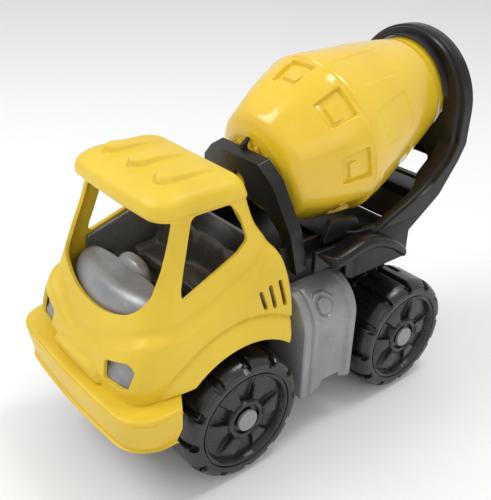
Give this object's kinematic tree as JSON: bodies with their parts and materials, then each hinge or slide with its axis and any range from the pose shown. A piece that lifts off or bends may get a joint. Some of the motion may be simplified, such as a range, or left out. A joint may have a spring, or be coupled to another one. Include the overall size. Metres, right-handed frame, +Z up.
{
  "type": "toy cement mixer",
  "caption": "Toy cement mixer lorry with a moulded cab, rolling wheels and a tilted mixing drum that turns between a front stand and a rear hoop.",
  "frame": {"origin": "middle of the footprint of the whole toy, on the ground", "axes": "+Z up, nose towards -Y, the vehicle's left side towards +X, drum mouth towards +Y"},
  "size_m": [0.14, 0.2878, 0.2415],
  "materials": {
    "cab_yellow": "satin moulded yellow plastic",
    "drum_yellow": "glossy, slightly translucent yellow plastic",
    "frame_black": "satin black plastic",
    "wheel_black": "semi-gloss black plastic",
    "silver_grey": "silver-grey pearl plastic",
    "steel": "plain steel"
  },
  "bodies": {
    "root": {"chassis_tray": "frame_black", "deck_frame": "frame_black", "front_stand": "frame_black", "rear_hoop": "frame_black", "mudguard_left": "frame_black", "mudguard_right": "frame_black", "click_spring": "frame_black", "cab_shell": "cab_yellow", "cab_insert": "silver_grey", "seat_bench": "silver_grey", "headlight_left": "silver_grey", "headlight_right": "silver_grey", "side_tank_left": "silver_grey", "side_tank_right": "silver_grey", "axle_caps": "silver_grey", "front_axle": "steel", "rear_axle": "steel", "cab_screws": "steel", "deck_screws": "steel"},
    "front_left_wheel": {"wheel_front_left": "wheel_black"},
    "front_right_wheel": {"wheel_front_right": "wheel_black"},
    "rear_left_wheel": {"wheel_rear_left": "wheel_black"},
    "rear_right_wheel": {"wheel_rear_right": "wheel_black"},
    "drum": {"drum_front_shell": "drum_yellow", "drum_rear_shell": "drum_yellow", "drum_mouth_ring": "drum_yellow", "drum_pivot_pin": "drum_yellow", "drum_ratchet_ring": "drum_yellow", "mixing_vanes": "drum_yellow"}
  },
  "joints": [
    {"name": "front_left_roll", "type": "hinge", "parent": "root", "child": "front_left_wheel", "pos_m": [0.0475, -0.061, 0.042], "axis": [1, 0, 0], "continuous": true},
    {"name": "front_right_roll", "type": "hinge", "parent": "root", "child": "front_right_wheel", "pos_m": [-0.0475, -0.061, 0.042], "axis": [1, 0, 0], "continuous": true},
    {"name": "rear_left_roll", "type": "hinge", "parent": "root", "child": "rear_left_wheel", "pos_m": [0.0475, 0.082, 0.042], "axis": [1, 0, 0], "continuous": true},
    {"name": "rear_right_roll", "type": "hinge", "parent": "root", "child": "rear_right_wheel", "pos_m": [-0.0475, 0.082, 0.042], "axis": [1, 0, 0], "continuous": true},
    {"name": "drum_spin", "type": "hinge", "parent": "root", "child": "drum", "pos_m": [0, -0.0138, 0.166], "axis": [0, 0.9724, 0.2334], "continuous": true}
  ]
}
